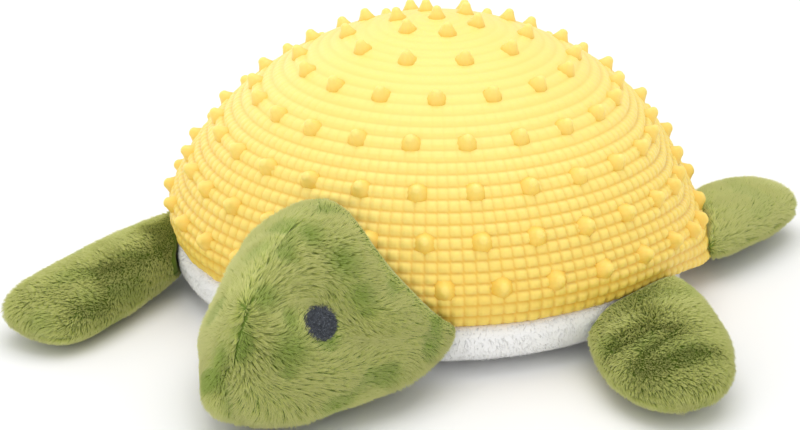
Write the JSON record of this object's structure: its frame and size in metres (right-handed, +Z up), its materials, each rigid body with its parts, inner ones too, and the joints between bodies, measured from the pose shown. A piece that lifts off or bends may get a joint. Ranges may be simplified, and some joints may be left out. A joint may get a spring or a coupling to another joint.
{
  "type": "plush turtle",
  "caption": "Toy turtle with a knobbed rubber dome shell sewn to a plush belly, with a stuffed plush head and flippers that flex at their seams.",
  "frame": {"origin": "centre of the flat underside of the belly, under the middle of the dome", "axes": "+Z up through the dome, -Y towards the head, +X towards the turtle's own left"},
  "size_m": [0.1922, 0.1973, 0.0753],
  "materials": {
    "yellow_rubber": "satin moulded rubber",
    "white_plush": "short white plush",
    "green_plush": "moss green plush with a 3 to 5 mm pile",
    "dark_thread": "charcoal embroidery thread",
    "sewing_thread": "white polyester thread",
    "fibre_fill": "loose polyester fibre",
    "soft_plastic": "milky soft plastic"
  },
  "bodies": {
    "body": {"rubber_shell": "yellow_rubber", "belly_panel": "white_plush", "body_stuffing": "fibre_fill", "rim_seam_thread": "sewing_thread", "squeaker_bulb": "soft_plastic", "squeaker_plug": "soft_plastic"},
    "head": {"head_left_cheek_panel": "green_plush", "head_right_cheek_panel": "green_plush", "head_chin_panel": "green_plush", "head_stuffing": "fibre_fill", "left_eye": "dark_thread", "right_eye": "dark_thread"},
    "front_left_flipper": {"front_left_flipper_upper_panel": "green_plush", "front_left_flipper_lower_panel": "green_plush", "front_left_flipper_stuffing": "fibre_fill"},
    "front_right_flipper": {"front_right_flipper_upper_panel": "green_plush", "front_right_flipper_lower_panel": "green_plush", "front_right_flipper_stuffing": "fibre_fill"},
    "rear_left_flipper": {"rear_left_flipper_upper_panel": "green_plush", "rear_left_flipper_lower_panel": "green_plush", "rear_left_flipper_stuffing": "fibre_fill"},
    "rear_right_flipper": {"rear_right_flipper_upper_panel": "green_plush", "rear_right_flipper_lower_panel": "green_plush", "rear_right_flipper_stuffing": "fibre_fill"}
  },
  "joints": [
    {"name": "head_nod", "type": "hinge", "parent": "body", "child": "head", "pos_m": [0, -0.07, 0.014], "axis": [1, 0, 0], "range_deg": [0, 25], "stiffness_Nm_per_rad": 1.2},
    {"name": "front_left_flipper_lift", "type": "hinge", "parent": "body", "child": "front_left_flipper", "pos_m": [0.06728, -0.02449, 0.014], "axis": [-0.342, -0.9397, 0], "range_deg": [-8, 35], "stiffness_Nm_per_rad": 0.4},
    {"name": "front_right_flipper_lift", "type": "hinge", "parent": "body", "child": "front_right_flipper", "pos_m": [-0.06435, -0.03139, 0.014], "axis": [-0.4384, 0.8988, 0], "range_deg": [-8, 35], "stiffness_Nm_per_rad": 0.4},
    {"name": "rear_left_flipper_lift", "type": "hinge", "parent": "body", "child": "rear_left_flipper", "pos_m": [0.06684, 0.02566, 0.014], "axis": [0.3584, -0.9336, 0], "range_deg": [-8, 35], "stiffness_Nm_per_rad": 0.4},
    {"name": "rear_right_flipper_lift", "type": "hinge", "parent": "body", "child": "rear_right_flipper", "pos_m": [-0.06684, 0.02566, 0.014], "axis": [0.3584, 0.9336, 0], "range_deg": [-8, 35], "stiffness_Nm_per_rad": 0.4}
  ]
}
